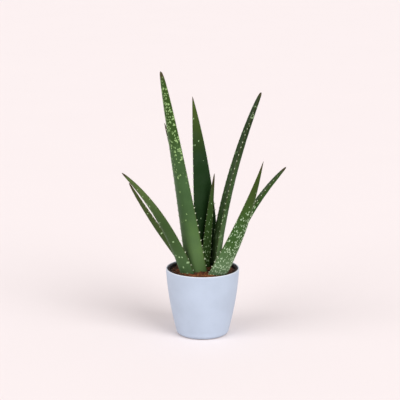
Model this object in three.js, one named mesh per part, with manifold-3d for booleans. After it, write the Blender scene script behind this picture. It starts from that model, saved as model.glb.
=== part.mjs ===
// A potted aloe: a ceramic cover pot, the thin nursery pot that stands in it, potting soil, and one
// rosette of thick pointed leaves on a short stem. Millimetres, +Z up, the front is -Y.
// The origin is the centre of the cover pot's flat underside.
import * as THREE from "three";
import { mergeVertices } from "three/addons/utils/BufferGeometryUtils.js";
import Module from "manifold-3d";

const wasm = await Module();
wasm.setup();

// ---------------------------------------------------------------- driving dimensions
// Cover pot: a taper that bulges a little, with a rounded lip and base edge.
const PLANTER_HEIGHT = 125;
const PLANTER_RIM_RADIUS = 67.5;
const PLANTER_FOOT_RADIUS = 46.6; // where the wall's line would meet the ground
const PLANTER_BULGE = 3.5; // of the wall at half height, past a straight taper
const PLANTER_WALL = 2.5;
const PLANTER_FLOOR = 6;
const PLANTER_BASE_ROUND = 9;
const PLANTER_INNER_ROUND = 5;

// Nursery pot: a straight taper with an outward lip and a ring of drainage holes.
const GROW_POT_DROP = 1.5; // its lip stands this far below the cover pot's rim
const GROW_POT_WALL = 1.4;
const GROW_POT_SIDE_CLEARANCE = 3; // between the two pots' walls at the rim, for the lip
const GROW_POT_FOOT_CLEARANCE = 1; // inside the flat part of the cover pot's floor
const GROW_POT_LIP_WIDTH = 2;
const GROW_POT_LIP_HEIGHT = 5;
const DRAIN_HOLE_RADIUS = 4;
const DRAIN_HOLE_COUNT = 6;
const DRAIN_RING_SHARE = 0.6; // of the floor's radius

// Soil: fills the nursery pot and is crowned round the plant.
const SOIL_DROP = 4.5; // its edge lies this far below the nursery pot's rim
const SOIL_CROWN = 5;

// Stem: a short crown under the rosette's centre, wholly in the soil, that the leaves grow from.
const STEM_RADIUS = 26; // at its shoulder, under the outer leaves
const STEM_ROOT_RADIUS = 9;
const STEM_LENGTH = 32; // from the shoulder down to the root end
const STEM_SHOULDER_DEPTH = 17; // below the rosette's own level
const STEM_CROWN_HEIGHT = 17; // of the domed top above the shoulder

// Rosette: its centre stands a little off the pot's axis.
const ROSETTE_X = 3;
const ROSETTE_Y = 0;
const ROSETTE_SINK = 5.3; // of its own level, from the soil's edge down

const GAP = 0.3; // between pieces that touch
const LEAF_GAP = 0.4; // between leaves, and between a leaf and the soil
const LEAF_RIM_GAP = 0.5; // the least that a leaf keeps from the nursery pot's rim

const POT_SEGMENTS = 48;
const INNER_SEGMENTS = 40;
const STEM_SEGMENTS = 20;
const LEAF_SIDES = 12;
const LEAF_STATIONS = 18;
const LEAF_TIP_RADIUS = 0.5; // half the width that is left at the blunt tip
const LEAF_ROOT_SHARE = 0.3; // the part of the length over which a narrower base widens
const INNER_BULGE_SHARE = 0.35; // the part of the thickness that lies on the leaf's inner side

// Leaves, from the innermost to the outermost. Angles in degrees: heading is the way the leaf leans,
// counted from +X towards +Y, and lean is measured from the vertical; each runs from base to tip. base
// is the place of the leaf's root from the rosette's centre. width and thickness are the greatest ones,
// root is the share of them that the base has, cup is how far the margins bend inwards, and shoulder and
// point set how the width falls away towards the tip.
const LEAVES = [
  {
    name: "leaf_young_centre", base: [1, 6, -2], heading: [60, 60], lean: [8, 14], length: 186,
    width: 16, thickness: 7, root: 1, cup: 4, shoulder: 1.6, point: 0.8, twist: 30, colour: 0x5e7a4c,
  },
  {
    name: "leaf_tall_right", base: [17.8, 10, -9], heading: [15, 15.5], lean: [6, 23.2], length: 353,
    width: 35.7, thickness: 13, root: 1, cup: 7, shoulder: 0.87, point: 0.36, twist: 0, colour: 0x3f6238,
  },
  {
    name: "leaf_dark_centre", base: [4.8, 16, -9], heading: [106, 108], lean: [6.7, 24.6], length: 336,
    width: 44.8, thickness: 12, root: 0.7, cup: 6, shoulder: 2.1, point: 1, twist: 0, colour: 0x2f4f2b,
  },
  {
    name: "leaf_behind_tall_left", base: [-10, 12, -9], heading: [170, 169], lean: [9, 16], length: 293,
    width: 30, thickness: 11, root: 0.8, cup: 5, shoulder: 1.6, point: 0.7, twist: 0, colour: 0x466b3c,
  },
  {
    name: "leaf_tall_left", base: [-15.2, -12, -11], heading: [238, 225.5], lean: [14.7, 13.1], length: 409,
    width: 50, thickness: 14, root: 1, cup: 7, shoulder: 0.64, point: 0.42, twist: 0, colour: 0x5d7f45,
  },
  {
    name: "leaf_back_right", base: [30.3, 2, -14], heading: [352, 366.5], lean: [14, 44], length: 247,
    width: 31.7, thickness: 11, root: 1, cup: 5, shoulder: 1.8, point: 0.49, twist: 0, colour: 0x4a6e3e,
  },
  {
    name: "leaf_back_left", base: [-13, 2, -10], heading: [188, 188], lean: [38.5, 29.4], length: 222,
    width: 28, thickness: 11, root: 1, cup: 5, shoulder: 1.5, point: 0.5, twist: 0, colour: 0x39592f,
  },
  {
    name: "leaf_front_right", base: [19, -16, -13], heading: [301, 306.5], lean: [40.5, 20.4],
    length: 293.5, width: 43, thickness: 12, root: 1, cup: 5, shoulder: 1.93, point: 1.09,
    twist: 0, colour: 0x7f9f72,
  },
  {
    name: "leaf_front_left", base: [-27.5, -16, -14], heading: [227.5, 234], lean: [22.4, 52.4],
    length: 300, width: 35.4, thickness: 12, root: 1, cup: 5, shoulder: 0.94, point: 0.54,
    twist: 0, colour: 0x62884c,
  },
];

// ---------------------------------------------------------------- sizes that follow
const planterInnerRim = PLANTER_RIM_RADIUS - PLANTER_WALL;
const growPotBottom = PLANTER_FLOOR + GAP;
const growPotTop = PLANTER_HEIGHT - GROW_POT_DROP;
const soilBottom = growPotBottom + GROW_POT_WALL + GAP;
const soilEdge = growPotTop - SOIL_DROP;
const rosetteLevel = soilEdge - ROSETTE_SINK;

// ---------------------------------------------------------------- helpers
const radians = THREE.MathUtils.degToRad;

// A closed three.js geometry as a solid that can be joined and cut.
function solidFrom(geometry) {
  const bare = geometry.clone();
  bare.deleteAttribute("normal");
  bare.deleteAttribute("uv");
  const merged = mergeVertices(bare, 1e-4);
  return new wasm.Manifold(
    new wasm.Mesh({
      numProp: 3,
      vertProperties: new Float32Array(merged.attributes.position.array),
      triVerts: new Uint32Array(merged.index.array),
    }),
  );
}

// The main body of a cut solid, without the crumbs that closely set neighbours cut off it.
function mainBody(solid) {
  return solid.decompose().reduce((best, body) => (body.volume() > best.volume() ? body : best));
}

function geometryFrom(solid) {
  const mesh = solid.getMesh();
  const geometry = new THREE.BufferGeometry();
  geometry.setAttribute("position", new THREE.BufferAttribute(mesh.vertProperties, 3));
  geometry.setIndex(new THREE.BufferAttribute(mesh.triVerts, 1));
  geometry.computeVertexNormals();
  return geometry;
}

function namedMesh(name, geometry, material) {
  const mesh = new THREE.Mesh(geometry, new THREE.MeshStandardMaterial(material));
  mesh.name = name;
  return mesh;
}

// Points on an arc, in degrees from the outward direction towards +Z.
function arc(centreRadius, centreZ, radius, from, to, steps) {
  const points = [];
  for (let i = 0; i <= steps; i++) {
    const angle = radians(from + ((to - from) * i) / steps);
    points.push(new THREE.Vector2(
      centreRadius + radius * Math.cos(angle),
      centreZ + radius * Math.sin(angle),
    ));
  }
  return points;
}

// A solid of revolution about Z from a profile of (radius, z) points that runs up the outside.
function turned(profile, segments) {
  return new THREE.LatheGeometry(profile, segments).rotateX(Math.PI / 2);
}

// ---------------------------------------------------------------- cover pot
// Outside radius at a height: a straight taper with a parabolic bulge.
function planterRadius(z) {
  const share = z / PLANTER_HEIGHT;
  const taper = THREE.MathUtils.lerp(PLANTER_FOOT_RADIUS, PLANTER_RIM_RADIUS, share);
  return taper + 4 * PLANTER_BULGE * share * (1 - share);
}

function planterWallPoints(fromZ, toZ, inset, steps) {
  const points = [];
  for (let i = 1; i < steps; i++) {
    const z = fromZ + ((toZ - fromZ) * i) / steps;
    points.push(new THREE.Vector2(planterRadius(z) - inset, z));
  }
  return points;
}

const planterInnerFootZ = PLANTER_FLOOR + PLANTER_INNER_ROUND;
const planterFlatFloorRadius = planterRadius(planterInnerFootZ) - PLANTER_WALL - PLANTER_INNER_ROUND;

function makePlanter() {
  const round = PLANTER_BASE_ROUND;
  const lipRadius = PLANTER_WALL / 2;
  const lipZ = PLANTER_HEIGHT - lipRadius;
  const profile = [
    new THREE.Vector2(0, 0),
    ...arc(planterRadius(round) - round, round, round, -90, 0, 4),
    ...planterWallPoints(round, lipZ, 0, 6),
    ...arc(planterRadius(lipZ) - lipRadius, lipZ, lipRadius, 0, 180, 4),
    ...planterWallPoints(lipZ, planterInnerFootZ, PLANTER_WALL, 5),
    ...arc(planterFlatFloorRadius, planterInnerFootZ, PLANTER_INNER_ROUND, 0, -90, 3),
    new THREE.Vector2(0, PLANTER_FLOOR),
  ];
  const material = { color: 0xc6ccdf, roughness: 0.55, metalness: 0 };
  return namedMesh("planter", turned(profile, POT_SEGMENTS), material);
}

// ---------------------------------------------------------------- nursery pot
const growPotTopRadius = planterInnerRim - GROW_POT_SIDE_CLEARANCE;
const growPotFootRadius = planterFlatFloorRadius - GROW_POT_FOOT_CLEARANCE;

// Outside radius of the straight-sided nursery pot at a height.
function growPotRadius(z) {
  const share = (z - growPotBottom) / (growPotTop - growPotBottom);
  return THREE.MathUtils.lerp(growPotFootRadius, growPotTopRadius, share);
}

function makeGrowPot() {
  const lipFoot = growPotTop - GROW_POT_LIP_HEIGHT;
  const floorTop = growPotBottom + GROW_POT_WALL;
  const profile = [
    new THREE.Vector2(0, growPotBottom),
    new THREE.Vector2(growPotRadius(growPotBottom), growPotBottom),
    new THREE.Vector2(growPotRadius(lipFoot), lipFoot),
    new THREE.Vector2(growPotRadius(lipFoot) + GROW_POT_LIP_WIDTH, lipFoot),
    new THREE.Vector2(growPotRadius(growPotTop) + GROW_POT_LIP_WIDTH, growPotTop),
    new THREE.Vector2(growPotRadius(growPotTop) - GROW_POT_WALL, growPotTop),
    new THREE.Vector2(growPotRadius(floorTop) - GROW_POT_WALL, floorTop),
    new THREE.Vector2(0, floorTop),
  ];
  let pot = solidFrom(turned(profile, INNER_SEGMENTS));
  const ringRadius = growPotFootRadius * DRAIN_RING_SHARE;
  const drill = new THREE.CylinderGeometry(DRAIN_HOLE_RADIUS, DRAIN_HOLE_RADIUS, 4 * GROW_POT_WALL, 12);
  drill.rotateX(Math.PI / 2);
  for (let i = 0; i < DRAIN_HOLE_COUNT; i++) {
    const angle = (2 * Math.PI * i) / DRAIN_HOLE_COUNT;
    const hole = drill.clone();
    hole.translate(ringRadius * Math.cos(angle), ringRadius * Math.sin(angle), growPotBottom);
    pot = pot.subtract(solidFrom(hole));
  }
  const material = { color: 0x2b2628, roughness: 0.5, metalness: 0 };
  return namedMesh("grow_pot", geometryFrom(pot), material);
}

// ---------------------------------------------------------------- leaves
// The leaf's midline: one frame for each station, with the direction across the leaf and the direction
// out of its rounded outer side.
function leafFrames(leaf) {
  const { base, heading, lean, length, twist } = leaf;
  const origin = new THREE.Vector3(...base);
  const frames = [];
  const directions = (share) => {
    const h = radians(THREE.MathUtils.lerp(heading[0], heading[1], share));
    const l = radians(THREE.MathUtils.lerp(lean[0], lean[1], share));
    const along = new THREE.Vector3(Math.sin(l) * Math.cos(h), Math.sin(l) * Math.sin(h), Math.cos(l));
    const outward = new THREE.Vector3(Math.cos(l) * Math.cos(h), Math.cos(l) * Math.sin(h), -Math.sin(l));
    const across = new THREE.Vector3().crossVectors(along, outward);
    across.applyAxisAngle(along, radians(twist));
    outward.applyAxisAngle(along, radians(twist));
    return { along, outward, across };
  };
  for (let i = 0; i <= LEAF_STATIONS; i++) {
    frames.push({ origin: origin.clone(), ...directions(i / LEAF_STATIONS) });
    origin.addScaledVector(directions((i + 0.5) / LEAF_STATIONS).along, length / LEAF_STATIONS);
  }
  return frames;
}

// The leaf with its base moved in towards the pot's axis as far as it would press on the nursery pot's
// rim. At the rim's level the leaf's outer side is followed from margin to margin.
function clearOfRim(leaf) {
  const level = growPotTop - rosetteLevel;
  const { origin, along, across, outward } = leafFrames(leaf).find((frame) => frame.origin.z >= level);
  const bulge = leaf.thickness * (1 - INNER_BULGE_SHARE);
  const steps = 8;
  let farthest = new THREE.Vector3();
  for (let i = 0; i <= steps; i++) {
    const x = (2 * i) / steps - 1;
    const point = origin.clone().addScaledVector(across, (x * leaf.width) / 2);
    point.addScaledVector(outward, bulge * (1 - x ** 2) - leaf.cup * x ** 2);
    point.addScaledVector(along, (level - point.z) / along.z);
    point.set(point.x + ROSETTE_X, point.y + ROSETTE_Y, 0);
    if (point.length() > farthest.length()) farthest = point;
  }
  const allowed = growPotTopRadius - GROW_POT_WALL - LEAF_RIM_GAP;
  const inward = farthest.clone().setLength(Math.max(0, farthest.length() - allowed));
  const [x, y, z] = leaf.base;
  return { ...leaf, base: [x - inward.x, y - inward.y, z] };
}

// A unit cylinder bent and tapered into a leaf: a shallow crescent section whose margins bend inwards.
// grow makes it that much thicker all round, as the cutter that keeps a neighbour clear of it.
function leafGeometry(leaf, grow) {
  const frames = leafFrames(leaf);
  const geometry = new THREE.CylinderGeometry(1, 1, 1, LEAF_SIDES, LEAF_STATIONS);
  const position = geometry.attributes.position;
  const point = new THREE.Vector3();
  for (let i = 0; i < position.count; i++) {
    point.fromBufferAttribute(position, i);
    const share = point.y + 0.5;
    const frame = frames[Math.round(share * LEAF_STATIONS)];
    const swell = THREE.MathUtils.lerp(leaf.root, 1, THREE.MathUtils.smoothstep(share, 0, LEAF_ROOT_SHARE));
    const taper = swell * Math.max(0, 1 - share ** leaf.shoulder) ** leaf.point;
    const bulge = leaf.thickness * (point.z > 0 ? 1 - INNER_BULGE_SHARE : INNER_BULGE_SHARE);
    const halfWidth = (leaf.width / 2) * taper + LEAF_TIP_RADIUS;
    const across = point.x * (halfWidth + grow);
    const thick = point.z * Math.abs(point.z) * (bulge * taper + LEAF_TIP_RADIUS);
    const skin = grow * THREE.MathUtils.clamp(2 * point.z, -1, 1);
    const outward = thick + skin - leaf.cup * taper * (across / halfWidth) ** 2;
    const end = share === 0 ? -grow : share === 1 ? grow : 0;
    point.copy(frame.origin).addScaledVector(frame.across, across);
    point.addScaledVector(frame.outward, outward).addScaledVector(frame.along, end);
    position.setXYZ(i, point.x, point.y, point.z);
  }
  return geometry;
}

function stemGeometry(grow) {
  const shoulder = -STEM_SHOULDER_DEPTH;
  const bottom = shoulder - STEM_LENGTH - grow;
  const domeSteps = 4;
  const profile = [new THREE.Vector2(0, bottom), new THREE.Vector2(STEM_ROOT_RADIUS + grow, bottom)];
  for (let i = 0; i <= domeSteps; i++) {
    const share = 1 - i / domeSteps;
    const height = (STEM_CROWN_HEIGHT + grow) * (1 - share ** 2);
    profile.push(new THREE.Vector2((STEM_RADIUS + grow) * share, shoulder + height));
  }
  return turned(profile, STEM_SEGMENTS);
}

// Each leaf is cut by the stem and by the leaves inside it, so that its base clasps them.
function makeRosette() {
  const rosette = new THREE.Group();
  rosette.position.set(ROSETTE_X, ROSETTE_Y, rosetteLevel);
  let taken = solidFrom(stemGeometry(LEAF_GAP));
  rosette.add(namedMesh("stem", stemGeometry(0), { color: 0x8a9160, roughness: 0.8, metalness: 0 }));
  for (const leaf of LEAVES.map(clearOfRim)) {
    const blade = mainBody(solidFrom(leafGeometry(leaf, 0)).subtract(taken));
    const material = { color: leaf.colour, roughness: 0.45, metalness: 0 };
    taken = taken.add(solidFrom(leafGeometry(leaf, LEAF_GAP)));
    rosette.add(namedMesh(leaf.name, geometryFrom(blade), material));
  }
  return { rosette, taken };
}

// ---------------------------------------------------------------- soil
function makeSoil(plant) {
  const side = GROW_POT_WALL + GAP;
  const edgeRadius = growPotRadius(soilEdge) - side;
  const domeSteps = 6;
  const profile = [
    new THREE.Vector2(0, soilBottom),
    new THREE.Vector2(growPotRadius(soilBottom) - side, soilBottom),
  ];
  for (let i = 0; i <= domeSteps; i++) {
    const share = 1 - i / domeSteps;
    profile.push(new THREE.Vector2(edgeRadius * share, soilEdge + SOIL_CROWN * (1 - share ** 2)));
  }
  const soil = mainBody(solidFrom(turned(profile, INNER_SEGMENTS)).subtract(plant));
  return namedMesh("soil", geometryFrom(soil), { color: 0x3d281f, roughness: 0.95, metalness: 0 });
}

// ---------------------------------------------------------------- the potted plant
const { rosette, taken } = makeRosette();
const plantGeometry = geometryFrom(taken);
plantGeometry.translate(ROSETTE_X, ROSETTE_Y, rosetteLevel);

const pottedAloe = new THREE.Group();
pottedAloe.add(makePlanter(), makeGrowPot(), makeSoil(solidFrom(plantGeometry)), rosette);

export default pottedAloe;
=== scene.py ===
"""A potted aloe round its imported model: a matte glazed cover pot, the thin nursery pot that stands in it,
coir potting soil, and one rosette of nine fleshy leaves with toothed margins. Metres, +Z up, front -Y."""

import math
import random

import bmesh
import bpy
from bpy.props import FloatProperty, FloatVectorProperty, IntProperty, PointerProperty
from mathutils import Euler, Matrix, Vector, noise


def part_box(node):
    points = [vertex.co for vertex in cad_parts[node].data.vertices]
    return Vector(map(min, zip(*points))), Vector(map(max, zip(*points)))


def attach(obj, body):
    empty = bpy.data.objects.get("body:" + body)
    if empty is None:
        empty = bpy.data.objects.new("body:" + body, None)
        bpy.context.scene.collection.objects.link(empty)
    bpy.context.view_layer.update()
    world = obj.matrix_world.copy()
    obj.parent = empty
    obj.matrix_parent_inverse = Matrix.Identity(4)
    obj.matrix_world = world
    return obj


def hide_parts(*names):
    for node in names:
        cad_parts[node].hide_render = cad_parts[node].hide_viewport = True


bl_info = {
    "name": "Potted Aloe",
    "version": (1, 0, 0),
    "blender": (4, 5, 0),
    "location": "3D View > Sidebar > Aloe",
    "description": "Models a potted aloe, its soil and its two pots round a packed frame",
    "category": "Add Mesh",
}

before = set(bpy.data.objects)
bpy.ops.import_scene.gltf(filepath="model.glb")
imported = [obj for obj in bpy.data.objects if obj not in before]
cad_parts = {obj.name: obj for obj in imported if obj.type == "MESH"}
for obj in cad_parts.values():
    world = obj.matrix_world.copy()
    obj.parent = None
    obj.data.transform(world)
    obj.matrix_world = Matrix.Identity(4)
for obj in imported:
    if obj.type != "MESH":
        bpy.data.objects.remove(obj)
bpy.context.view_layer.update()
PLANTER_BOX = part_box("planter")
GROW_POT_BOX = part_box("grow_pot")
SOIL_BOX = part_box("soil")
STEM_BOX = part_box("stem")

MM = 0.001
COLOUR = dict(size=4, subtype="COLOR", min=0, max=1)  # of every property that is a colour


def srgb(red, green, blue):
    """A colour given in screen values from 0 to 255, as the linear colour that shaders use."""
    linear = [((c / 255 + 0.055) / 1.055) ** 2.4 for c in (red, green, blue)]
    return (*linear, 1.0)


# ---- sizes and colours of the leaves
# Angles in degrees and lengths in millimetres. base is the leaf's root from the rosette's centre at the
# rosette's level. heading is the way that the leaf leans, from +X towards +Y, and lean is its angle from
# the vertical, each from base to tip. twist turns the leaf about its own length. root is the share of the
# width and thickness that the base has, cup is how far the margins bend inwards, and shoulder and point
# set how the width falls away to the tip. greens are the skin's colours at the base, the middle and the
# tip, and tip_from is the share of the length at which the last one sets in. flecks are the shares of the
# skin's cells that carry a fleck at the base, the middle and the tip, fleck is their colour and fineness
# the cells to a metre. bloom is how waxy the base is, painted_sheen how strongly a painted sheen pales one
# margin, edge the colour of the margin's line, and brown_tip the share of the length that has dried.
BROWN_EDGE = srgb(70, 72, 38)
PALE_FLECKS = srgb(160, 190, 142)
GREEN_FLECKS = srgb(148, 180, 118)
WHITE_FLECKS = srgb(184, 210, 172)

COMMON_LEAF = dict(
    slot="leaf_skin", root=1, twist=0, bloom=0.12, painted_sheen=0, fleck=PALE_FLECKS, fineness=360,
    edge=BROWN_EDGE, tip_from=0.5,
)
OWN_LEAVES = (
    dict(
        name="leaf_young_centre", slot="leaf_young", base=(1, 6, -2), heading=(60, 60), lean=(8, 14),
        length=186, width=16, thickness=7, cup=4, shoulder=1.6, point=0.8, twist=30,
        greens=(srgb(58, 88, 36), srgb(54, 82, 34), srgb(60, 70, 36)), flecks=(0.5, 0.2, 0),
        fineness=420, tip_from=0.62, brown_tip=0.12,
    ),
    dict(
        name="leaf_tall_right", base=(17.8, 10, -9), heading=(15, 15.5), lean=(6, 23.2),
        length=353, width=35.7, thickness=13, cup=7, shoulder=0.87, point=0.36,
        greens=(srgb(98, 126, 76), srgb(54, 80, 40), srgb(24, 44, 12)), flecks=(0.1, 0.06, 0.1),
        fineness=330, bloom=0.2, brown_tip=0.02,
    ),
    # Painted shade: this leaf's greens are set darker than its own green, to stand for the shade deep in
    # the rosette.
    dict(
        name="leaf_dark_centre", slot="leaf_dark", base=(4.8, 16, -9), heading=(106, 108),
        lean=(6.7, 24.6), length=336, width=44.8, thickness=12, root=0.7, cup=6, shoulder=2.1, point=1,
        greens=(srgb(18, 45, 8), srgb(20, 49, 12), srgb(72, 88, 26)), flecks=(0.05, 0.02, 0.06),
        fineness=380, bloom=0.03, edge=srgb(44, 50, 26), tip_from=0.64, brown_tip=0.025,
    ),
    dict(
        name="leaf_behind_tall_left", base=(-10, 12, -9), heading=(170, 169), lean=(9, 16),
        length=293, width=30, thickness=11, root=0.8, cup=5, shoulder=1.6, point=0.7,
        greens=(srgb(56, 82, 40), srgb(60, 80, 46), srgb(64, 70, 46)), flecks=(0.1, 0.2, 0.3),
        fineness=330, brown_tip=0.05,
    ),
    dict(
        name="leaf_tall_left", base=(-15.2, -12, -11), heading=(238, 225.5), lean=(14.7, 13.1),
        length=409, width=50, thickness=14, cup=7, shoulder=0.64, point=0.42,
        greens=(srgb(76, 108, 44), srgb(64, 92, 54), srgb(48, 74, 24)), flecks=(0, 0.05, 0.98),
        fleck=GREEN_FLECKS, fineness=430, bloom=0.2, painted_sheen=0.24, brown_tip=0.03,
    ),
    dict(
        name="leaf_back_right", base=(30.3, 2, -14), heading=(352, 366.5), lean=(14, 44),
        length=247, width=31.7, thickness=11, cup=5, shoulder=1.8, point=0.49,
        greens=(srgb(58, 88, 42), srgb(46, 80, 30), srgb(40, 70, 20)), flecks=(0.35, 0.3, 0.12),
        brown_tip=0.04,
    ),
    dict(
        name="leaf_back_left", base=(-13, 2, -10), heading=(188, 188), lean=(38.5, 29.4),
        length=222, width=28, thickness=11, cup=5, shoulder=1.5, point=0.5,
        greens=(srgb(66, 88, 44), srgb(58, 78, 36), srgb(60, 72, 34)), flecks=(0.1, 0.1, 0.1),
        brown_tip=0.06,
    ),
    dict(
        name="leaf_front_right", slot="leaf_pale", base=(19, -16, -13), heading=(301, 306.5),
        lean=(40.5, 20.4), length=293.5, width=43, thickness=12, cup=5, shoulder=1.93, point=1.09,
        greens=(srgb(80, 110, 68), srgb(56, 88, 38), srgb(54, 72, 24)), flecks=(0.65, 0.65, 0.02),
        fleck=WHITE_FLECKS, fineness=380, bloom=0.3, brown_tip=0.06,
    ),
    dict(
        name="leaf_front_left", base=(-27.5, -16, -14), heading=(227.5, 234), lean=(22.4, 52.4),
        length=300, width=35.4, thickness=12, cup=5, shoulder=0.94, point=0.54,
        greens=(srgb(58, 88, 44), srgb(58, 82, 42), srgb(82, 104, 54)), flecks=(0.06, 0.14, 0.12),
        fineness=400, painted_sheen=0.3, brown_tip=0.04,
    ),
)
LEAVES = [{**COMMON_LEAF, **own} for own in OWN_LEAVES]

SOIL_EDGE = GROW_POT_BOX[1].z - 4.5 * MM  # the soil's level along the nursery pot's wall
SOIL_RADIUS = SOIL_BOX[1].x
ROSETTE_CENTRE = Vector((3 * MM, 0, SOIL_EDGE - 5.3 * MM))
ROOT_SHARE = 0.3  # the part of a leaf's length over which a narrower base widens
INNER_BULGE = 0.35  # the part of a leaf's thickness that lies on its inner side
MARGIN_ROUNDING = 0.14  # how much of a leaf's section is a true ellipse, which rounds the margins
TIP_RADIUS = 0.5 * MM  # of the blunt end that closes a leaf
WELD = 1e-6  # points nearer to each other than this are made one


# ---- settings
class AloePotSettings(bpy.types.PropertyGroup):
    foot_radius: FloatProperty(
        name="Foot radius", description="Where the cover pot's wall would meet the ground",
        default=46.6 * MM, unit="LENGTH",
    )
    bulge: FloatProperty(
        name="Bulge", description="How far the wall stands out at half height, past a straight taper",
        default=3.5 * MM, unit="LENGTH",
    )
    wall: FloatProperty(
        name="Wall", description="Thickness of the cover pot's wall", default=2.5 * MM, unit="LENGTH",
    )
    floor: FloatProperty(
        name="Floor", description="Thickness of the cover pot's floor", default=6 * MM, unit="LENGTH",
    )
    base_round: FloatProperty(
        name="Base round", description="Radius of the rounded base edge", default=9 * MM, unit="LENGTH",
    )
    inner_round: FloatProperty(
        name="Inner round", description="Radius inside, where the wall meets the floor",
        default=5 * MM, unit="LENGTH",
    )
    glaze: FloatVectorProperty(
        name="Glaze", description="Colour of the matte glaze", default=srgb(172, 184, 201), **COLOUR,
    )


class AloeNurseryPotSettings(bpy.types.PropertyGroup):
    wall: FloatProperty(
        name="Wall", description="Thickness of the moulded wall", default=1.4 * MM, unit="LENGTH",
    )
    lip_width: FloatProperty(
        name="Lip width", description="How far the lip stands out", default=2 * MM, unit="LENGTH",
    )
    lip_height: FloatProperty(
        name="Lip height", description="Height of the lip's outer band", default=5 * MM, unit="LENGTH",
    )
    foot_radius: FloatProperty(
        name="Foot radius", description="Radius of the moulded floor", default=41 * MM, unit="LENGTH",
    )
    drain_holes: IntProperty(
        name="Drain holes", description="Number of holes in the floor", default=6, min=0, max=12,
    )
    drain_radius: FloatProperty(
        name="Drain radius", description="Radius of each hole in the floor", default=4 * MM,
        unit="LENGTH",
    )
    plastic: FloatVectorProperty(
        name="Plastic", description="Colour of the moulded plastic", default=srgb(26, 22, 25), **COLOUR,
    )


class AloeSoilSettings(bpy.types.PropertyGroup):
    crown: FloatProperty(
        name="Crown", description="How much higher the soil lies in the middle", default=5 * MM,
        unit="LENGTH",
    )
    lumps: FloatProperty(
        name="Lumps", description="Height of the surface's lumps", default=1.6 * MM, unit="LENGTH",
    )
    crumbs: IntProperty(
        name="Crumbs", description="Number of loose crumbs", default=700, min=0, max=2000,
    )
    chips: IntProperty(
        name="Chips", description="Number of bark chips", default=70, min=0, max=300,
    )
    fibres: IntProperty(
        name="Fibres", description="Number of coir fibres", default=230, min=0, max=600,
    )
    peat: FloatVectorProperty(
        name="Peat", description="Colour of the damp soil", default=srgb(52, 30, 21), **COLOUR,
    )
    coir: FloatVectorProperty(
        name="Coir", description="Colour of the driest fibres", default=srgb(170, 108, 62), **COLOUR,
    )


class AloeLeafSettings(bpy.types.PropertyGroup):
    sides: IntProperty(
        name="Sides", description="Faces round a leaf", default=40, min=8, max=96,
    )
    stations: IntProperty(
        name="Stations", description="Faces along a leaf", default=150, min=20, max=400,
    )
    tooth_length: FloatProperty(
        name="Tooth length", description="Length of the largest margin teeth", default=3 * MM,
        unit="LENGTH",
    )
    tooth_spacing: FloatProperty(
        name="Tooth spacing", description="Distance between margin teeth", default=13 * MM,
        unit="LENGTH",
    )
    tooth: FloatVectorProperty(
        name="Tooth", description="Colour of the margin teeth", default=srgb(216, 228, 198), **COLOUR,
    )
    dry_tip: FloatVectorProperty(
        name="Dry tip", description="Colour of the dried tips", default=srgb(66, 56, 36), **COLOUR,
    )


class AloeStageSettings(bpy.types.PropertyGroup):
    floor: FloatVectorProperty(
        name="Floor", description="Colour of the floor", default=srgb(232, 224, 224), **COLOUR,
    )
    key: FloatProperty(
        name="Key light", description="Strength of the light from the front right", default=2.3, min=0,
    )
    fill: FloatProperty(
        name="Fill light", description="Strength of the light from the front left", default=1.65, min=0,
    )
    surround: FloatProperty(
        name="Surround", description="Brightness of the light from all round", default=0.6, min=0,
    )
    lens: FloatProperty(
        name="Lens", description="Focal length of the camera", default=126.9, min=20, unit="CAMERA",
    )
    camera_place: FloatVectorProperty(
        name="Camera place", description="Where the camera stands", default=(-0.0048, -2.5, 0.823),
        size=3, subtype="TRANSLATION", unit="LENGTH",
    )
    camera_dip: FloatProperty(
        name="Camera dip", description="How far below the level the camera looks",
        default=math.radians(12.86), subtype="ANGLE", unit="ROTATION",
    )


# ---- node helpers
MIX_FIRST, MIX_SECOND, MIX_RESULT = 6, 7, 2  # a Mix node's colour sockets


def feed(tree, socket, value):
    if isinstance(value, bpy.types.NodeSocket):
        tree.links.new(value, socket)
    else:
        socket.default_value = value


def put(tree, kind, settings, sockets):
    """A new shader node with its settings, and its inputs fed by name or number."""
    node = tree.nodes.new(kind)
    for name, value in settings.items():
        setattr(node, name, value)
    for key, value in sockets.items():
        feed(tree, node.inputs[key], value)
    return node


def calculate(tree, operation, first, second):
    node = put(tree, "ShaderNodeMath", {"operation": operation}, {0: first, 1: second})
    return node.outputs["Value"]


def times(tree, first, second):
    return calculate(tree, "MULTIPLY", first, second)


def plus(tree, first, second):
    return calculate(tree, "ADD", first, second)


def blend_colours(tree, factor, first, second):
    node = put(
        tree, "ShaderNodeMix", {"data_type": "RGBA"},
        {0: factor, MIX_FIRST: first, MIX_SECOND: second},
    )
    return node.outputs[MIX_RESULT]


def step_between(tree, value, low, high, to_low=0.0, to_high=1.0):
    """value turned into a smooth step between low and high."""
    node = put(
        tree, "ShaderNodeMapRange", {"interpolation_type": "SMOOTHSTEP"},
        {"Value": value, "From Min": low, "From Max": high, "To Min": to_low, "To Max": to_high},
    )
    return node.outputs["Result"]


def noise_at(tree, vector, scale, detail, output="Fac"):
    node = put(tree, "ShaderNodeTexNoise", {}, {"Vector": vector, "Scale": scale, "Detail": detail})
    return node.outputs[output]


def stretched(tree, vector, scale):
    node = put(tree, "ShaderNodeMapping", {}, {"Vector": vector, "Scale": scale})
    return node.outputs["Vector"]


def axes_of(tree, vector):
    """The X, Y and Z of a vector, each as a value."""
    return put(tree, "ShaderNodeSeparateXYZ", {}, {"Vector": vector}).outputs


def attribute(tree, name, output="Fac"):
    node = put(tree, "ShaderNodeAttribute", {"attribute_name": name}, {})
    return node.outputs[output]


def bumped(tree, height, distance, strength):
    node = put(
        tree, "ShaderNodeBump", {}, {"Strength": strength, "Distance": distance, "Height": height},
    )
    return node.outputs["Normal"]


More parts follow.
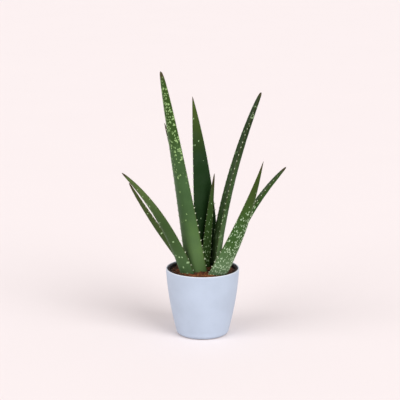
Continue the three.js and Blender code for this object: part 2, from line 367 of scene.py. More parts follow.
def new_group(name, inputs, outputs):
    """A shader node group that takes a vector and other values, and gives values."""
    group = bpy.data.node_groups.new(name, "ShaderNodeTree")
    for socket in inputs:
        kind = "NodeSocketVector" if socket == "Vector" else "NodeSocketFloat"
        group.interface.new_socket(name=socket, in_out="INPUT", socket_type=kind)
    for socket in outputs:
        group.interface.new_socket(name=socket, in_out="OUTPUT", socket_type="NodeSocketFloat")
    return group, group.nodes.new("NodeGroupInput").outputs, group.nodes.new("NodeGroupOutput").inputs


def use_group(tree, name, sockets):
    """The outputs of a shared effect that is put in a tree."""
    node = put(tree, "ShaderNodeGroup", {"node_tree": bpy.data.node_groups[name]}, sockets)
    return node.outputs


def mottled(tree, place, patch_scale, grain_scale):
    return use_group(
        tree, "mottle", {"Vector": place, "Patch Scale": patch_scale, "Grain Scale": grain_scale},
    )


def object_place(tree):
    return put(tree, "ShaderNodeTexCoord", {}, {}).outputs["Object"]


def new_material(name):
    """A plain material, its tree and its Principled shader."""
    material = bpy.data.materials.new(name)
    material.use_nodes = True
    return material, material.node_tree, material.node_tree.nodes["Principled BSDF"]


# ---- shared effects
def mottle_group():
    """Broad, uneven patches with a finer grain in them, for glaze, plastic, soil and leaf skin."""
    group, given, result = new_group(
        "mottle", ["Vector", "Patch Scale", "Grain Scale"], ["Patches", "Grain"],
    )
    patches = noise_at(group, given["Vector"], given["Patch Scale"], 4.0)
    grain = noise_at(group, given["Vector"], given["Grain Scale"], 6.0)
    feed(group, result["Patches"], step_between(group, patches, 0.32, 0.68))
    feed(group, result["Grain"], grain)


def along_group():
    """One value at the base, one in the middle and one at the tip, run together along a leaf."""
    group, given, result = new_group("along_leaf", ["Share", "Base", "Middle", "Tip"], ["Value"])
    lower = step_between(group, given["Share"], 0.1, 0.5, given["Base"], given["Middle"])
    upper = step_between(group, given["Share"], 0.45, 0.8)
    difference = calculate(group, "SUBTRACT", given["Tip"], given["Middle"])
    feed(group, result["Value"], plus(group, lower, times(group, upper, difference)))


FLECK_WANDER = (0.003, 0.005, 0.0)  # how far the flecks stray across and along a leaf, in metres
FLECK_STRETCH = (1.0, 0.42, 1.0)  # cells less than half as fine along the leaf as across it
FLECK_DEPTH_SHIFT = 0.37  # how far the pattern moves across for each step into the leaf
FLECK_BANDS = (30.0, 95.0, 22.0)  # bands that lie across the leaf
FLECK_SMALLEST, FLECK_SPREAD = 0.26, 0.2  # radius of the least fleck and its range, in cells


def flecks_group():
    """Pale, long flecks in broken bands across a leaf. Density is the share of cells that carry one."""
    group, given, result = new_group("aloe_flecks", ["Vector", "Density", "Fineness"], ["Flecks"])
    wander = noise_at(group, given["Vector"], 260.0, 1.0, "Color")
    wandering = put(
        group, "ShaderNodeVectorMath", {"operation": "MULTIPLY_ADD"},
        {0: wander, 1: FLECK_WANDER, 2: given["Vector"]},
    ).outputs["Vector"]
    axes = axes_of(group, wandering)
    across = plus(group, axes["X"], times(group, axes["Z"], FLECK_DEPTH_SHIFT))
    flat = put(group, "ShaderNodeCombineXYZ", {}, {"X": across, "Y": axes["Y"]}).outputs["Vector"]
    cells = put(
        group, "ShaderNodeTexVoronoi", {"voronoi_dimensions": "2D"},
        {"Vector": stretched(group, flat, FLECK_STRETCH), "Scale": given["Fineness"], "Randomness": 0.85},
    ).outputs
    chance = put(group, "ShaderNodeSeparateColor", {}, {"Color": cells["Color"]}).outputs
    band = noise_at(group, stretched(group, given["Vector"], FLECK_BANDS), 1.0, 2.0)
    likely = times(group, given["Density"], step_between(group, band, 0.36, 0.6, 0.35, 1.3))
    chosen = calculate(group, "LESS_THAN", chance["Red"], likely)
    radius = plus(group, times(group, chance["Green"], FLECK_SPREAD), FLECK_SMALLEST)
    inside = calculate(group, "SUBTRACT", radius, cells["Distance"])
    feed(group, result["Flecks"], times(group, chosen, step_between(group, inside, 0.0, 0.12)))


# ---- materials
def darker(colour, share):
    return tuple(c * share for c in colour[:3]) + (1.0,)


def glaze_material(colour):
    """A matte glaze with a painted highlight along the lip, and bare biscuit where the foot stands."""
    material, tree, shader = new_material("matte_glaze")
    place = object_place(tree)
    spots = mottled(tree, place, 22.0, 900.0)
    height = axes_of(tree, place)["Z"]
    painted_lip_highlight, biscuit = srgb(222, 224, 230), srgb(214, 206, 196)
    top = PLANTER_BOX[1].z
    skin = blend_colours(tree, spots["Patches"], darker(colour, 0.93), tuple(colour))
    # Painted highlight: the top of the lip is blended up to 70% towards a pale grey-white.
    lip = times(tree, step_between(tree, height, top - 1.6 * MM, top), 0.7)
    skin = blend_colours(tree, lip, skin, painted_lip_highlight)
    foot = step_between(tree, height, 0.5 * MM, 1.3 * MM, 1.0, 0.0)
    feed(tree, shader.inputs["Base Color"], blend_colours(tree, foot, skin, biscuit))
    feed(tree, shader.inputs["Roughness"], step_between(tree, spots["Grain"], 0.2, 0.8, 0.44, 0.6))
    feed(tree, shader.inputs["Normal"], bumped(tree, spots["Grain"], 0.08 * MM, 0.5))
    shader.inputs["Specular IOR Level"].default_value = 0.4
    return material


def plastic_material(colour):
    """Dull moulded plastic with dust on it and fine scratches round it."""
    material, tree, shader = new_material("nursery_plastic")
    place = object_place(tree)
    spots = mottled(tree, place, 60.0, 700.0)
    dust = srgb(52, 38, 30)
    dusty = times(tree, spots["Patches"], 0.5)
    scratches = noise_at(tree, stretched(tree, place, (400.0, 400.0, 2000.0)), 1.0, 2.0)
    feed(tree, shader.inputs["Base Color"], blend_colours(tree, dusty, tuple(colour), dust))
    feed(tree, shader.inputs["Roughness"], step_between(tree, spots["Patches"], 0.0, 1.0, 0.5, 0.8))
    feed(tree, shader.inputs["Normal"], bumped(tree, scratches, 0.1 * MM, 0.4))
    shader.inputs["Specular IOR Level"].default_value = 0.2
    return material


def soil_material(name, dark, light, shade=None):
    """Damp soil, crumbs, bark or fibres. shade names an attribute that picks the colour of each bit."""
    material, tree, shader = new_material(name)
    spots = mottled(tree, object_place(tree), 130.0, 1500.0)
    share = times(tree, spots["Patches"], 0.55)
    if shade:
        share = plus(tree, times(tree, share, 0.4), attribute(tree, shade))
    colour = blend_colours(tree, share, dark, light)
    # Painted shade: where the grain sinks in the bump, the colour is blended up to 45% towards a near-black
    # brown.
    pit_shade = srgb(20, 12, 9)
    unshaded_share = step_between(tree, spots["Grain"], 0.3, 0.6, 0.55, 1.0)
    feed(tree, shader.inputs["Base Color"], blend_colours(tree, unshaded_share, pit_shade, colour))
    feed(tree, shader.inputs["Roughness"], step_between(tree, spots["Grain"], 0.2, 0.8, 0.98, 0.8))
    feed(tree, shader.inputs["Normal"], bumped(tree, spots["Grain"], 0.8 * MM, 0.8))
    shader.inputs["Specular IOR Level"].default_value = 0.25
    return material


def stem_material():
    """Woody stem tissue in two tones."""
    material, tree, shader = new_material("stem_tissue")
    spots = mottled(tree, object_place(tree), 90.0, 800.0)
    skin = blend_colours(tree, spots["Patches"], srgb(132, 140, 92), srgb(156, 138, 96))
    feed(tree, shader.inputs["Base Color"], skin)
    feed(tree, shader.inputs["Roughness"], step_between(tree, spots["Grain"], 0.2, 0.8, 0.7, 0.9))
    feed(tree, shader.inputs["Normal"], bumped(tree, spots["Grain"], 0.4 * MM, 0.6))
    return material


TIP_RUN = 0.36  # the share of a leaf's length over which the tip's green sets in
BLOOM = srgb(136, 164, 128)
# colour of the painted sheen that lies towards one margin of some leaves
PAINTED_SHEEN = srgb(150, 166, 150)


def leaf_greens(tree, leaf, share, side, patches, streaks):
    """Three greens along the leaf, deeper in patches and in streaks, with painted shade on the inner side.
    """
    base, middle, tip = leaf["greens"]
    run = plus(tree, share, times(tree, patches, 0.06))
    colour = blend_colours(tree, step_between(tree, run, 0.12, 0.45), base, middle)
    near_tip = step_between(tree, run, leaf["tip_from"], leaf["tip_from"] + TIP_RUN)
    colour = blend_colours(tree, near_tip, colour, tip)
    deep = blend_colours(tree, 0.5, colour, darker(middle, 0.5))
    colour = blend_colours(tree, times(tree, patches, 0.4), colour, deep)
    colour = blend_colours(tree, step_between(tree, streaks, 0.42, 0.7, 0.0, 0.22), colour, deep)
    # Painted shade: the inner side is blended up to 35% towards a darker copy of the middle green.
    inner = step_between(tree, side, -0.2, 0.15, 0.35, 0.0)
    return blend_colours(tree, inner, colour, darker(middle, 0.7))


def leaf_wax(tree, leaf, colour, place, share, side):
    """Bloom on the outer side near the base, and a painted sheen towards one margin, laid over the greens.
    """
    bloom = times(
        tree, step_between(tree, share, 0.08, 0.4, leaf["bloom"], 0.0), step_between(tree, side, -0.1, 0.5),
    )
    colour = blend_colours(tree, bloom, colour, BLOOM)
    width = leaf["width"] * MM
    across = axes_of(tree, place)["X"]
    # Painted sheen: a pale grey-green blended in towards one margin, gone just past the middle.
    painted_sheen = step_between(tree, across, -0.45 * width, 0.1 * width, leaf["painted_sheen"], 0.0)
    return blend_colours(tree, painted_sheen, colour, PAINTED_SHEEN)


def leaf_flecks(tree, leaf, place, share):
    """A mask of the leaf's flecks, which thin out near the soil."""
    low, middle, high = leaf["flecks"]
    density = use_group(
        tree, "along_leaf", {"Share": share, "Base": low, "Middle": middle, "Tip": high},
    )["Value"]
    density = times(tree, density, step_between(tree, share, 0.04, 0.18, 0.3, 1.0))
    return use_group(
        tree, "aloe_flecks", {"Vector": place, "Density": density, "Fineness": leaf["fineness"]},
    )["Flecks"]


def leaf_ends(tree, leaf, settings, colour, share):
    """The margin's line, the dried tip and the teeth, laid over the skin."""
    near_edge = step_between(tree, attribute(tree, "inset"), 0.2 * MM, 1.0 * MM, 0.6, 0.0)
    colour = blend_colours(tree, near_edge, colour, leaf["edge"])
    dry = leaf["brown_tip"]
    dried = step_between(tree, share, 1.0 - 1.6 * dry, 1.0 - 0.4 * dry, 0.0, 0.9)
    colour = blend_colours(tree, dried, colour, tuple(settings.dry_tip))
    return blend_colours(tree, attribute(tree, "tooth"), colour, tuple(settings.tooth))


def leaf_material(leaf, settings):
    """Waxy skin that follows the leaf as if it were straight, from attributes of its points."""
    material, tree, shader = new_material(leaf["name"] + "_skin")
    place = attribute(tree, "straightened", "Vector")
    share, side = attribute(tree, "share"), attribute(tree, "side")
    spots = mottled(tree, place, 38.0, 900.0)
    streaks = noise_at(tree, stretched(tree, place, (700.0, 26.0, 200.0)), 1.0, 2.0)
    flecks = leaf_flecks(tree, leaf, place, share)
    colour = leaf_greens(tree, leaf, share, side, spots["Patches"], streaks)
    colour = leaf_wax(tree, leaf, colour, place, share, side)
    colour = blend_colours(tree, times(tree, flecks, 0.85), colour, leaf["fleck"])
    colour = leaf_ends(tree, leaf, settings, colour, share)
    roughness = step_between(tree, spots["Patches"], 0.0, 1.0, 0.52, 0.64)
    relief = plus(tree, times(tree, flecks, 0.6), times(tree, streaks, 0.5))
    relief = plus(tree, relief, times(tree, spots["Grain"], 0.4))
    feed(tree, shader.inputs["Base Color"], colour)
    feed(tree, shader.inputs["Roughness"], plus(tree, roughness, times(tree, flecks, 0.1)))
    feed(tree, shader.inputs["Normal"], bumped(tree, relief, 0.25 * MM, 0.6))
    shader.inputs["Specular IOR Level"].default_value = 0.09
    return material


# ---- mesh helpers
def lerp(first, second, share):
    return first + (second - first) * share


def smooth_step(value, low, high):
    share = min(1.0, max(0.0, (value - low) / (high - low)))
    return share * share * (3 - 2 * share)


def arc(centre, radius, start, end, steps):
    """Points on an arc in the (radius, z) plane, in degrees from the outward direction towards +Z."""
    turns = [math.radians(lerp(start, end, i / steps)) for i in range(steps + 1)]
    return [(centre[0] + radius * math.cos(t), centre[1] + radius * math.sin(t)) for t in turns]


def spun(outline, steps):
    """A closed shell turned about Z from an outline that starts and ends on the axis."""
    bm = bmesh.new()
    points = [bm.verts.new((radius, 0, z)) for radius, z in outline]
    lines = [bm.edges.new(pair) for pair in zip(points, points[1:])]
    bmesh.ops.spin(
        bm, geom=points + lines, cent=(0, 0, 0), axis=(0, 0, 1), angle=2 * math.pi, steps=steps,
        use_merge=True, use_duplicate=False,
    )
    bmesh.ops.remove_doubles(bm, verts=bm.verts, dist=WELD)
    bmesh.ops.recalc_face_normals(bm, faces=bm.faces)
    return bm


def unit_tube(bm, sides, stations):
    """A closed tube of radius 1 from z 0 to 1 with a ring of points at each station."""
    tube = bmesh.ops.create_cone(
        bm, cap_ends=True, segments=sides, radius1=1, radius2=1, depth=1,
        matrix=Matrix.Translation((0, 0, 0.5)),
    )["verts"]
    lines = {e for v in tube for e in v.link_edges if abs(e.verts[0].co.z - e.verts[1].co.z) > 0.5}
    split = bmesh.ops.subdivide_edges(bm, edges=list(lines), cuts=stations - 1)["geom_split"]
    return {v for item in split if isinstance(item, bmesh.types.BMEdge) for v in item.verts}


def finished(name, bm):
    mesh = bpy.data.meshes.new(name)
    bm.to_mesh(mesh)
    bm.free()
    return mesh


def into_scene(name, data):
    made = bpy.data.objects.new(name, data)
    bpy.context.scene.collection.objects.link(made)
    return made


def add_piece(name, bm, material, replaces=(), crease=40):
    """The finished mesh as a piece that rides on the plant's one body. Edges past crease stay sharp."""
    mesh = finished(name, bm)
    mesh.materials.append(material)
    mesh.shade_smooth()
    mesh.set_sharp_from_angle(angle=math.radians(crease))
    piece = into_scene(name, mesh)
    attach(piece, "root")
    if replaces:
        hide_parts(*replaces)
    return piece


# ---- the cover pot
def cover_pot_radius(settings, z):
    share = z / PLANTER_BOX[1].z
    return lerp(settings.foot_radius, PLANTER_BOX[1].x, share) + 4 * settings.bulge * share * (1 - share)


def cover_pot_outline(settings):
    """Underside, rounded base edge, bulging wall, rounded lip, inner wall and floor."""
    height, wall, base = PLANTER_BOX[1].z, settings.wall, settings.base_round
    lip = wall / 2
    inner = settings.inner_round
    inner_foot = settings.floor + inner
    recess = 1.2 * MM
    foot_ring = cover_pot_radius(settings, base) - base
    foot_ring_width = 5 * MM
    recess_edge = foot_ring - foot_ring_width - recess
    steps = 26

    def wall_points(start, end, inset):
        heights = [lerp(start, end, i / steps) for i in range(1, steps)]
        return [(cover_pot_radius(settings, z) - inset, z) for z in heights]

    return [
        (0, recess),
        (recess_edge, recess),
        *arc((recess_edge, 0), recess, 90, 0, 5),
        *arc((foot_ring, base), base, -90, 0, 12),
        *wall_points(base, height - lip, 0),
        *arc((cover_pot_radius(settings, height - lip) - lip, height - lip), lip, 0, 180, 12),
        *wall_points(height - lip, inner_foot, wall),
        *arc((cover_pot_radius(settings, inner_foot) - wall - inner, inner_foot), inner, 0, -90, 8),
        (0, settings.floor),
    ]


class ALOE_OT_cover_pot(bpy.types.Operator):
    """Turns the glazed cover pot"""

    bl_idname = "aloe.cover_pot"
    bl_label = "Cover Pot"

    def execute(self, context):
        settings = context.scene.aloe_pot
        bm = spun(cover_pot_outline(settings), steps=160)
        add_piece("cover_pot", bm, glaze_material(settings.glaze), ["planter"])
        return {"FINISHED"}


# ---- the nursery pot
def nursery_pot_outline(settings):
    """Floor, straight wall, a band that stands out under the rim, and the inner wall."""
    bottom, top = GROW_POT_BOX[0].z, GROW_POT_BOX[1].z
    rim = GROW_POT_BOX[1].x - settings.lip_width
    wall = settings.wall
    corner = 0.5 * MM
    lip_foot = top - settings.lip_height
    rows = 20

    def radius(z):
        return lerp(settings.foot_radius, rim, (z - bottom) / (top - bottom))

    def wall_points(start, end, first, inset):
        heights = [lerp(start, end, i / rows) for i in range(first, rows + 1)]
        return [(radius(z) - inset, z) for z in heights]

    outer_lip = radius(lip_foot) + settings.lip_width
    return [
        (0, bottom),
        *arc((radius(bottom) - corner, bottom + corner), corner, -90, 0, 3),
        *wall_points(bottom + corner, lip_foot, 1, 0),
        *arc((outer_lip - corner, lip_foot + corner), corner, -90, 0, 3),
        *arc((rim + settings.lip_width - corner, top - corner), corner, 0, 90, 3),
        *arc((rim - wall + corner, top - corner), corner, 90, 180, 3),
        *wall_points(lip_foot, bottom + wall, 0, wall),
        (0, bottom + wall),
    ]


def cut_drain_holes(piece, settings):
    """Drills the ring of holes through the nursery pot's floor."""
    bm = bmesh.new()
    ring = settings.foot_radius * 0.6
    size, depth = settings.drain_radius, 6 * MM
    for i in range(settings.drain_holes):
        turn = 2 * math.pi * i / settings.drain_holes
        place = Vector((ring * math.cos(turn), ring * math.sin(turn), GROW_POT_BOX[0].z))
        bmesh.ops.create_cone(
            bm, cap_ends=True, segments=24, radius1=size, radius2=size, depth=depth,
            matrix=Matrix.Translation(place),
        )
    drill = into_scene("drain_drill", finished("drain_drill", bm))
    cut = piece.modifiers.new("drain_holes", "BOOLEAN")
    cut.operation = "DIFFERENCE"
    cut.solver = "EXACT"
    cut.object = drill
    graph = bpy.context.evaluated_depsgraph_get()
    drilled = bpy.data.meshes.new_from_object(piece.evaluated_get(graph))
    piece.modifiers.clear()
    piece.data = drilled
    bpy.data.objects.remove(drill)


class ALOE_OT_nursery_pot(bpy.types.Operator):
    """Turns the thin plastic pot that the plant grows in, and drills its floor"""

    bl_idname = "aloe.nursery_pot"
    bl_label = "Nursery Pot"

    def execute(self, context):
        settings = context.scene.aloe_nursery_pot
        bm = spun(nursery_pot_outline(settings), steps=120)
        material = plastic_material(settings.plastic)
        piece = add_piece("nursery_pot", bm, material, ["grow_pot"])
        cut_drain_holes(piece, settings)
        return {"FINISHED"}


# ---- the soil
LUMP_SIZES = ((90, 1), (210, 0.6), (480, 0.35))  # lumps to a metre, and how high they are
LEVEL_SLACK = 1e-5  # how far below the soil's level a point still counts as its surface
PALE_GRAIN_EVERY = 90  # one crumb in this many is a pale grain
PALE_GRAIN_TINT = 2.5  # so far along that the colour is always the lightest
DRIFT_EVERY = 3  # one fibre in this many lies in the drift before the rosette
DRIFT_X, DRIFT_Y = (-40, 24), (-48, -34)  # the drift's place, in millimetres


def soil_level(settings, x, y):
    """Height of the soil's lumpy surface at a place."""
    share = math.hypot(x, y) / SOIL_RADIUS
    place = Vector((x, y, 0))
    lumps = sum(height * noise.noise(place * fineness) for fineness, height in LUMP_SIZES)
    return SOIL_EDGE + settings.crown * (1 - share * share) + settings.lumps * lumps


def soil_body(settings, pot):
    """The block of soil that fills the nursery pot, with its surface lumpy and crowned."""
    bottom = SOIL_BOX[0].z
    foot = pot.foot_radius - pot.wall
    rows, rings = 14, 64
    outline = [(0, bottom)]
    outline += [
        (lerp(foot, SOIL_RADIUS, i / rows), lerp(bottom, SOIL_EDGE, i / rows)) for i in range(rows + 1)
    ]
    outline += [(SOIL_RADIUS * (1 - i / rings), SOIL_EDGE) for i in range(1, rings + 1)]
    bm = spun(outline, steps=180)
    for vert in bm.verts:
        if vert.co.z > SOIL_EDGE - LEVEL_SLACK:
            vert.co.z = soil_level(settings, vert.co.x, vert.co.y)
    return bm


def scattered(draw, reach):
    """A random place on the soil, evenly over its area."""
    radius = reach * math.sqrt(draw.random())
    turn = draw.uniform(0, 2 * math.pi)
    return radius * math.cos(turn), radius * math.sin(turn)


def random_turn(draw):
    return Euler([draw.uniform(0, 2 * math.pi) for _ in range(3)]).to_matrix().to_4x4()


def soil_crumbs(settings, draw):
    """Loose crumbs of peat, and a few pale grains among them."""
    bm = bmesh.new()
    shade = bm.verts.layers.float.new("shade")
    for i in range(settings.crumbs):
        size = lerp(0.5, 2.2, draw.random() ** 3) * MM
        x, y = scattered(draw, SOIL_RADIUS - size)
        lift = draw.uniform(-0.2, 0.6) * size
        shape = Matrix.Diagonal((size, size * draw.uniform(0.6, 1), size * draw.uniform(0.5, 0.9), 1))
        place = Matrix.Translation((x, y, soil_level(settings, x, y) + lift))
        made = bmesh.ops.create_icosphere(
            bm, subdivisions=1, radius=1, matrix=place @ random_turn(draw) @ shape,
        )["verts"]
        tint = PALE_GRAIN_TINT if i % PALE_GRAIN_EVERY == 0 else draw.uniform(0, 0.5)
        for vert in made:
            vert.co += Vector([draw.uniform(-0.16, 0.16) * size for _ in range(3)])
            vert[shade] = tint
    return bm


def soil_chips(settings, draw):
    """Flat, split pieces of bark."""
    bm = bmesh.new()
    shade = bm.verts.layers.float.new("shade")
    lift, split_depth = 0.6 * MM, 0.5 * MM
    slope, turn = 0.4, 6.3  # how far a chip may lean and turn, in radians
    for _ in range(settings.chips):
        long = draw.uniform(3, 8) * MM
        shape = Matrix.Diagonal((long, long * draw.uniform(0.25, 0.6), draw.uniform(0.7, 1.5) * MM, 1))
        x, y = scattered(draw, SOIL_RADIUS - long / 2)
        tilt = Euler((draw.uniform(-slope, slope), draw.uniform(-slope, slope), draw.uniform(0, turn)))
        place = Matrix.Translation((x, y, soil_level(settings, x, y) + lift)) @ tilt.to_matrix().to_4x4()
        made = bmesh.ops.create_cube(bm, size=1, matrix=place @ shape)["verts"]
        lines = list({e for v in made for e in v.link_edges})
        split = bmesh.ops.subdivide_edges(bm, edges=lines, cuts=1, use_grid_fill=True)["geom"]
        made = {v for item in split if isinstance(item, bmesh.types.BMFace) for v in item.verts}
        tint = draw.uniform(0, 0.9)
        for vert in made:
            vert[shade] = tint
            vert.co += noise.noise_vector(vert.co * 700) * split_depth
    return bm


def soil_fibres(settings, draw):
    """Curved strands of coir that lie on the soil, thickest in front of the rosette."""
    bm = bmesh.new()
    shade = bm.verts.layers.float.new("shade")
    lift, wall_gap = 0.4 * MM, 1 * MM
    for i in range(settings.fibres):
        length = draw.uniform(9, 30) * MM
        thick = draw.uniform(0.16, 0.42) * MM
        x, y = scattered(draw, SOIL_RADIUS - 4 * MM)
        if i % DRIFT_EVERY == 0:
            x, y = draw.uniform(*DRIFT_X) * MM, draw.uniform(*DRIFT_Y) * MM
        heading = draw.uniform(0, 2 * math.pi)
        bend = draw.uniform(-60, 60)
        rise = draw.uniform(0.2, 3) * MM
        tint = draw.random() ** 1.5
        for vert in unit_tube(bm, 5, 9):
            share, across = vert.co.z, vert.co.xy * thick * (1 - 0.6 * vert.co.z)
            turn = heading + bend * length * share
            run = length * share
            here_x, here_y = x + run * math.cos(turn), y + run * math.sin(turn)
            reach = math.hypot(here_x, here_y) / (SOIL_RADIUS - wall_gap)
            if reach > 1:
                here_x, here_y = here_x / reach, here_y / reach
            arch = rise * math.sin(math.pi * share)
            vert.co = (
                here_x - across.x * math.sin(turn), here_y + across.x * math.cos(turn),
                soil_level(settings, here_x, here_y) + lift + arch + across.y,
            )
            vert[shade] = tint
    return bm


class ALOE_OT_soil(bpy.types.Operator):
    """Fills the nursery pot with lumpy soil, and scatters crumbs, bark chips and coir fibres on it"""

    bl_idname = "aloe.soil"
    bl_label = "Potting Soil"

    def execute(self, context):
        settings = context.scene.aloe_soil
        body = soil_body(settings, context.scene.aloe_nursery_pot)
        draw = random.Random(7)
        peat, coir = tuple(settings.peat), tuple(settings.coir)
        crumb = soil_material("soil_crumbs", peat, srgb(116, 84, 62), "shade")
        chip = soil_material("bark_chips", srgb(60, 32, 24), srgb(132, 74, 46), "shade")
        fibre = soil_material("coir_fibres", srgb(96, 54, 36), coir, "shade")
        soil = soil_material("damp_soil", peat, srgb(96, 66, 48))
        add_piece("potting_soil", body, soil, ["soil"])
        add_piece("soil_crumbs", soil_crumbs(settings, draw), crumb)
        add_piece("bark_chips", soil_chips(settings, draw), chip)
        add_piece("coir_fibres", soil_fibres(settings, draw), fibre)
        return {"FINISHED"}


# ---- the stem
class ALOE_OT_stem(bpy.types.Operator):
    """Turns the short stem under the rosette, ringed by leaf scars"""

    bl_idname = "aloe.stem"
    bl_label = "Stem"

    def execute(self, context):
        low, high = STEM_BOX
        centre = (low + high) / 2
        shoulder = ROSETTE_CENTRE.z - 17 * MM
        widest = (high.x - low.x) / 2
        root = 9 * MM
        scars, scar_depth = 8, 0.4 * MM
        rows = 24
        outline = [(0, low.z)]
        for i in range(rows + 1):
            share = i / rows
            scar = scar_depth * math.sin(share * scars * 2 * math.pi) * math.sin(share * math.pi)
            outline.append((lerp(root, widest, share) - abs(scar), lerp(low.z, shoulder, share)))
        for i in range(1, rows):
            share = 1 - i / rows
            outline.append((widest * share, shoulder + (high.z - shoulder) * (1 - share * share)))
        outline.append((0, high.z))
        bm = spun(outline, steps=72)
        bmesh.ops.translate(bm, verts=bm.verts, vec=(centre.x, centre.y, 0))
        add_piece("stem_crown", bm, stem_material(), ["stem"])
        return {"FINISHED"}


# ---- the leaves
def leaf_directions(leaf, share):
    """The way along the leaf, out of its rounded outer side, and across it."""
    heading = math.radians(lerp(*leaf["heading"], share))
    lean = math.radians(lerp(*leaf["lean"], share))
    flat = Vector((math.cos(heading), math.sin(heading), 0))
    along = flat * math.sin(lean) + Vector((0, 0, math.cos(lean)))
    outward = flat * math.cos(lean) - Vector((0, 0, math.sin(lean)))
    twist = Matrix.Rotation(math.radians(leaf["twist"]), 3, along)
    return along, twist @ outward, twist @ along.cross(outward)


def leaf_midline(leaf, stations):
    """The leaf's middle points and directions, one for each station."""
    origin = ROSETTE_CENTRE + Vector(leaf["base"]) * MM
    step = leaf["length"] * MM / stations
    midline = []
    for i in range(stations + 1):
        midline.append((origin.copy(), *leaf_directions(leaf, i / stations)))
        origin += leaf_directions(leaf, (i + 0.5) / stations)[0] * step
    return midline


def leaf_taper(leaf, share):
    """How much of the leaf's size is left at a share of its length, its half width and its tip's part."""
    swell = lerp(leaf["root"], 1, smooth_step(share, 0, ROOT_SHARE))
    taper = swell * max(0.0, 1 - share ** leaf["shoulder"]) ** leaf["point"]
    tip = TIP_RADIUS * math.sqrt(max(0.0, 1 - share ** 80))
    return taper, leaf["width"] / 2 * MM * taper + tip, tip


def leaf_section(leaf, share, x, z):
    """Offsets across and outwards of the skin at (x, z) on a unit circle, and the half width there."""
    taper, half_width, tip = leaf_taper(leaf, share)
    bulge = leaf["thickness"] * MM * ((1 - INNER_BULGE) if z > 0 else INNER_BULGE)
    swell = MARGIN_ROUNDING * z + (1 - MARGIN_ROUNDING) * z * abs(z)
    outward = swell * (bulge * taper + tip) - leaf["cup"] * MM * taper * x * x
    return x * half_width, outward, half_width


def leaf_layers(bm):
    """What the skin reads at each point: its place as if the leaf were straight, its share of the
    length, how far in from the margin it is, its side (1 outer, -1 inner) and how far out on a tooth."""
    floats = {name: bm.verts.layers.float.new(name) for name in ("share", "inset", "side", "tooth")}
    return {"straightened": bm.verts.layers.float_vector.new("straightened"), **floats}


def mark(vert, layers, **values):
    for name, value in values.items():
        vert[layers[name]] = value


def grow_blade(bm, layers, leaf, midline, seed):
    """Bends and tapers a closed tube into the fleshy blade, with a faint ripple in its skin."""
    stations = len(midline) - 1
    ripple_height = 0.35 * MM
    for vert in unit_tube(bm, bpy.context.scene.aloe_leaf.sides, stations):
        x, z, share = vert.co.x, vert.co.y, vert.co.z
        origin, _, outward, across = midline[round(share * stations)]
        sideways, out, half_width = leaf_section(leaf, share, x, z)
        run = share * leaf["length"] * MM
        straight = Vector((sideways, run, out + seed))
        ripple = noise.noise(straight * 38) + 0.5 * noise.noise(straight * 95)
        swell = ripple_height * ripple * smooth_step(half_width, 1 * MM, 8 * MM)
        vert.co = origin + across * sideways + outward * (out + z * swell)
        inset = (1 - abs(x)) * half_width
        mark(vert, layers, straightened=straight, share=share, inset=inset, side=z, tooth=0.0)


def grow_teeth(bm, layers, leaf, midline, seed, draw):
    """Small flattened spines along both margins, which point outwards and a little to the tip."""
    settings = bpy.context.scene.aloe_leaf
    stations = len(midline) - 1
    length = leaf["length"] * MM
    forward = math.radians(28)
    last = length * 0.94
    sunk, flatness = 0.5 * MM, 0.55
    for edge in (-1, 1):
        run = (30 + 6 * draw.random()) * MM
        while run < last:
            share = run / length
            origin, along, outward, across = midline[round(share * stations)]
            sideways, out, half_width = leaf_section(leaf, share, edge, 0)
            size = settings.tooth_length * smooth_step(half_width, 0, 14 * MM) * draw.uniform(0.8, 1.1)
            way = across * edge * math.cos(forward) + along * math.sin(forward)
            foot = origin + across * (sideways - edge * sunk) + outward * out
            turned = Matrix((way.cross(outward), outward * flatness, way)).transposed().to_4x4()
            place = Matrix.Translation(foot + way * size / 2) @ turned
            tooth = bmesh.ops.create_cone(
                bm, cap_ends=True, segments=6, radius1=size * 0.5, radius2=size * 0.05, depth=size,
                matrix=place,
            )["verts"]
            straight = Vector((sideways, run, out + seed))
            for vert in tooth:
                far = 0.7 + 0.3 * (vert.co - foot).dot(way) / max(size, WELD)
                mark(vert, layers, straightened=straight, share=share, inset=0.0, side=0.0, tooth=far)
            run += settings.tooth_spacing * draw.uniform(0.8, 1.2) * lerp(1.1, 0.75, share)


class ALOE_OT_leaves(bpy.types.Operator):
    """Grows the rosette's leaves, each with its teeth and its own skin"""

    bl_idname = "aloe.leaves"
    bl_label = "Leaves"

    def execute(self, context):
        settings = context.scene.aloe_leaf
        draw = random.Random(21)
        for number, leaf in enumerate(LEAVES):
            bm = bmesh.new()
            layers = leaf_layers(bm)
            midline = leaf_midline(leaf, settings.stations)
            grow_blade(bm, layers, leaf, midline, number)
            bmesh.ops.remove_doubles(bm, verts=bm.verts, dist=WELD)
            grow_teeth(bm, layers, leaf, midline, number, draw)
            bmesh.ops.recalc_face_normals(bm, faces=bm.faces)
            name = leaf["name"].replace("leaf_", "aloe_") + "_leaf"
            add_piece(name, bm, leaf_material(leaf, settings), [leaf["name"]], crease=60)
        return {"FINISHED"}


# ---- the stage
BACKDROP = srgb(252, 246, 246)
BACKDROP_BRIGHTNESS = 0.86
FLOOR_RADIUS = 40  # metres, far past what the camera sees


def soft_light(name, towards, strength, spread):
    """A wide, even light from far off. towards points at where it comes from, spread is its angle."""
    light = bpy.data.lights.new(name, "SUN")
    light.energy = strength
    light.angle = math.radians(spread)
    into_scene(name, light).rotation_euler = (-Vector(towards)).to_track_quat("-Z", "Y").to_euler()


def pale_surround(strength):
    """Even light from all round, with a plain pale backdrop behind the floor's edge."""
    world = bpy.data.worlds.new("pale_surround")
    world.use_nodes = True
    tree = world.node_tree
    seen = tree.nodes.new("ShaderNodeLightPath").outputs["Is Camera Ray"]
    brightness = step_between(tree, seen, 0.0, 1.0, strength, BACKDROP_BRIGHTNESS)
    feed(tree, tree.nodes["Background"].inputs["Color"], BACKDROP)
    feed(tree, tree.nodes["Background"].inputs["Strength"], brightness)
    bpy.context.scene.world = world


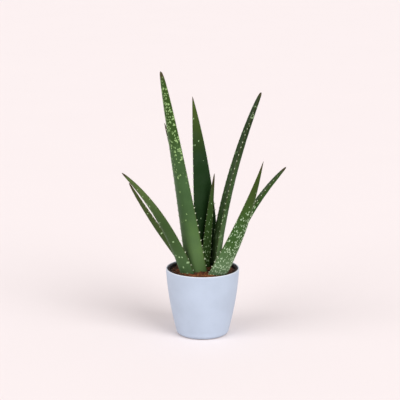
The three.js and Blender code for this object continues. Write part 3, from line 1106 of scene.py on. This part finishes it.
def plain_floor(colour):
    """A flat disc with the faintest change of tone."""
    bm = bmesh.new()
    bmesh.ops.create_circle(bm, cap_ends=True, segments=96, radius=FLOOR_RADIUS)
    mesh = finished("floor", bm)
    material, tree, shader = new_material("plain_floor")
    faint = noise_at(tree, object_place(tree), 3.0, 2.0)
    tone = blend_colours(tree, faint, darker(colour, 0.985), tuple(colour))
    feed(tree, shader.inputs["Base Color"], tone)
    shader.inputs["Roughness"].default_value = 0.8
    shader.inputs["Specular IOR Level"].default_value = 0.1
    mesh.materials.append(material)
    into_scene("floor", mesh)


class ALOE_OT_stage(bpy.types.Operator):
    """Lays the floor and sets the soft lights and the camera"""

    bl_idname = "aloe.stage"
    bl_label = "Stage"

    def execute(self, context):
        scene = context.scene
        settings = scene.aloe_stage
        plain_floor(settings.floor)
        pale_surround(settings.surround)
        soft_light("key_light", towards=(1.3, -1.5, 1.3), strength=settings.key, spread=40)
        soft_light("fill_light", towards=(-1.5, -1.2, 1.1), strength=settings.fill, spread=50)
        camera = bpy.data.cameras.new("camera")
        camera.sensor_width = 36
        camera.lens = settings.lens
        eye = into_scene("camera", camera)
        eye.location = settings.camera_place
        eye.rotation_euler = (math.radians(90) - settings.camera_dip, 0, 0)
        scene.camera = eye
        scene.view_settings.view_transform = "Standard"
        return {"FINISHED"}


# ---- the add-on
class ALOE_PT_panel(bpy.types.Panel):
    """Lists the steps that make the potted aloe"""

    bl_label = "Potted Aloe"
    bl_space_type = "VIEW_3D"
    bl_region_type = "UI"
    bl_category = "Aloe"

    def draw(self, context):
        for operator in OPERATORS:
            self.layout.operator(operator.bl_idname)


SETTINGS = {
    "aloe_pot": AloePotSettings,
    "aloe_nursery_pot": AloeNurseryPotSettings,
    "aloe_soil": AloeSoilSettings,
    "aloe_leaf": AloeLeafSettings,
    "aloe_stage": AloeStageSettings,
}
OPERATORS = (
    ALOE_OT_cover_pot,
    ALOE_OT_nursery_pot,
    ALOE_OT_soil,
    ALOE_OT_stem,
    ALOE_OT_leaves,
    ALOE_OT_stage,
)


def register():
    for name, kind in SETTINGS.items():
        bpy.utils.register_class(kind)
        setattr(bpy.types.Scene, name, PointerProperty(type=kind))
    for kind in (*OPERATORS, ALOE_PT_panel):
        bpy.utils.register_class(kind)


def unregister():
    for kind in (ALOE_PT_panel, *reversed(OPERATORS)):
        bpy.utils.unregister_class(kind)
    for name, kind in SETTINGS.items():
        delattr(bpy.types.Scene, name)
        bpy.utils.unregister_class(kind)


def main():
    register()
    mottle_group()
    along_group()
    flecks_group()
    bpy.ops.aloe.cover_pot()
    bpy.ops.aloe.nursery_pot()
    bpy.ops.aloe.soil()
    bpy.ops.aloe.stem()
    bpy.ops.aloe.leaves()
    bpy.ops.aloe.stage()


if __name__ == "__main__":
    main()
